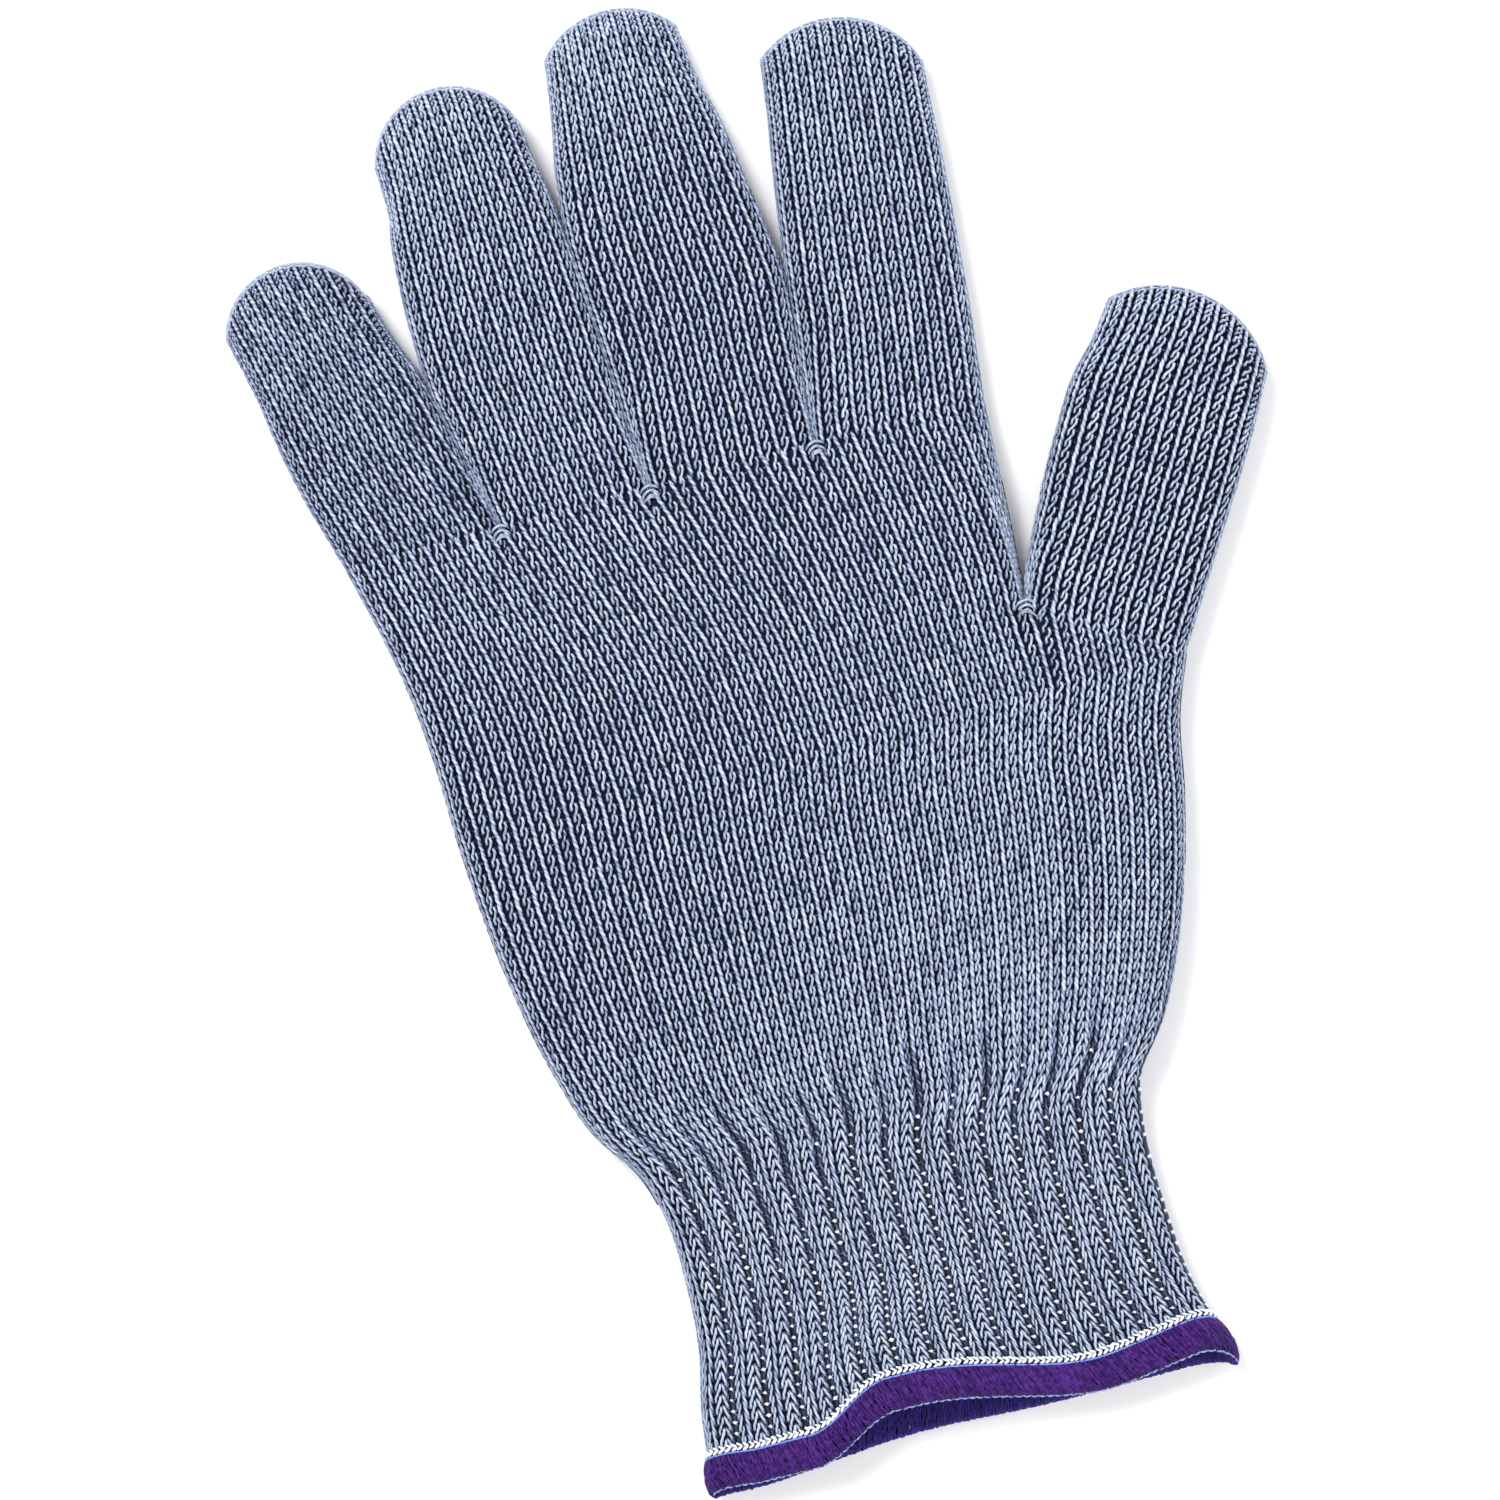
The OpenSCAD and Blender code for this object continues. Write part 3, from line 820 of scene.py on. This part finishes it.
def dashes(mesh, down0, down1, out, radius, count, lean, rng):
    """A row of short straight stitches round the hem."""
    p = np.linspace(0, 2 * HAND_WALES, count, endpoint=False)[:, None]
    t = np.linspace(0, 1, 5)[None]
    place = p + lean * (t - 0.5) + rng.normal(0, 0.04, (count, 1))
    down = down0 + (down1 - down0) * t + rng.normal(0, 0.05, (count, 1))
    height = out + 0.22 * np.sin(np.pi * t) + 0 * place
    centres, normals = hem_points(place, down + 0 * place, height)
    thick = radius * np.array([0.75, 1, 1.1, 1, 0.75])[None] * rng.uniform(0.85, 1.15, (count, 1))
    mesh.add_tubes(tubes(centres, normals, thick, 6), 0, rng.random(count), 0.0)


outer_wraps = wraps("hem_outer_wraps", OUTER_WRAP, 0.27, 480, 0.9, PURPLE)
inner_wraps = wraps("hem_inner_wraps", INNER_WRAP, 0.27, 460, 0.7, INDIGO)
rng = np.random.default_rng(SEED)
stitch_mesh = Mesh()
dashes(stitch_mesh, -0.15, -0.72, 0.40, 0.215, 190, 0.42, rng)
dashes(stitch_mesh, -0.76, -1.25, 0.30, 0.175, 190, -0.4, rng)
ring_thread(stitch_mesh, 0.12, 0.55, 0.17, 500, 0.03, material=1)
stitch_row = stitch_mesh.make("hem_stitch_row", [WHITE, BLUE])
lip_mesh = Mesh()
ring_thread(lip_mesh, 5.75, -0.15, 0.2, 700, 0.1)
lip_row = lip_mesh.make("hem_lip_thread_row", [PALE_BLUE])
for piece, node, slot in (
    (outer_wraps, "hem_outer_thread", "purple_hem_thread"),
    (inner_wraps, "hem_inner_thread", "indigo_hem_thread"),
    (stitch_row, "hem_stitch_thread", "white_stitch_thread"),
    (lip_row, "hem_lip_thread", "light_blue_lip_thread"),
):
    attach(piece, "cuff")
    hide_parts(node)


def knot(mesh, at, along, rng):
    """Arcs of yarn at the place at, which close the hole between two tubes. along points to it."""
    turn = np.array([along[1], -along[0], 0])
    ahead = np.array([along[0], along[1], 0])
    t = np.linspace(-1.7, 1.5, 14)
    up = np.tile([0.0, 0.0, 1.0], (len(t), 1))
    for size, back in ((0.8, 0.5), (1.45, 0.35), (2.1, 0.2), (2.0, 2.0)):
        bend = np.sin(t)[:, None] * turn + np.cos(t)[:, None] * ahead
        arc = at + size * bend - ahead * (1.0 + back)
        arc[:, 2] += 0.5 * np.cos(t) + rng.normal(0, 0.08)
        mesh.add_tubes(tubes(arc[None], up[None], 0.25, 6, 0.8), 0, rng.random(1), 0.18)


finger_knots = Mesh()
for x in CROTCHES[1:4]:
    knot(finger_knots, np.array([x, FINGER_Y - 0.5, FINGER_H - 2.6]), (0, 1), rng)
piece = finger_knots.make("finger_crotch_knots", [YARN])
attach(piece, "palm")
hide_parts("finger_crotch_ties")
thumb_knot = Mesh()
knot(thumb_knot, np.array([33.6, CROTCH_Y - 0.6, PALM_H - 3.2]), (0.25, 0.97), rng)
piece = thumb_knot.make("thumb_crotch_knot", [YARN])
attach(piece, "palm")
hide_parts("thumb_crotch_tie")


# ---------------------------------------------------------------- stage, light and camera
def paper_material():
    material, tree, shader = node_material("pale_floor", 0.9, specular=0.1)
    noise = tree.nodes.new("ShaderNodeTexNoise")
    noise.inputs["Scale"].default_value = 30
    ramp = tree.nodes.new("ShaderNodeValToRGB")
    ramp.color_ramp.elements[0].color = (0.90, 0.90, 0.905, 1)
    ramp.color_ramp.elements[1].color = (0.93, 0.93, 0.93, 1)
    tree.links.new(noise.outputs["Fac"], ramp.inputs["Fac"])
    tree.links.new(ramp.outputs["Color"], shader.inputs["Base Color"])
    return material


bpy.ops.mesh.primitive_plane_add(size=6, location=(0, 0, -0.0002))
floor = bpy.context.object
floor.name = "floor"
floor.data.materials.append(paper_material())


def area_light(name, place, target, size, watts):
    data = bpy.data.lights.new(name, "AREA")
    data.shape = "SQUARE"
    data.size, data.energy = size, watts
    lamp = bpy.data.objects.new(name, data)
    lamp.location = place
    lamp.rotation_euler = (Vector(target) - Vector(place)).to_track_quat("-Z", "Y").to_euler()
    bpy.context.scene.collection.objects.link(lamp)
    return lamp


area_light("key", (-0.45, 0.75, 1.1), (0, 0, 0), 0.5, 17)
area_light("fill", (0.8, -0.5, 0.9), (0, 0, 0), 1.0, 8)
world = bpy.data.worlds.new("studio")
world.use_nodes = True
world.node_tree.nodes["Background"].inputs["Color"].default_value = (1, 1, 1, 1)
world.node_tree.nodes["Background"].inputs["Strength"].default_value = 0.8
bpy.context.scene.world = world
bpy.context.scene.view_settings.view_transform = "Standard"

CAMERA_AT = (-0.0164, -0.0023, 0.588)
camera_data = bpy.data.cameras.new("camera")
camera_data.lens = 85
camera_data.sensor_width = 36
camera = bpy.data.objects.new("camera", camera_data)
up = Vector((0.2588, 0.9659, 0))  # the glove lies turned by 15 degrees in the picture
right = up.cross(Vector((0, 0, 1)))
camera.matrix_world = Matrix.Translation(CAMERA_AT) @ Matrix(
    (right, up, Vector((0, 0, 1)))).transposed().to_4x4()
bpy.context.scene.collection.objects.link(camera)
bpy.context.scene.camera = camera
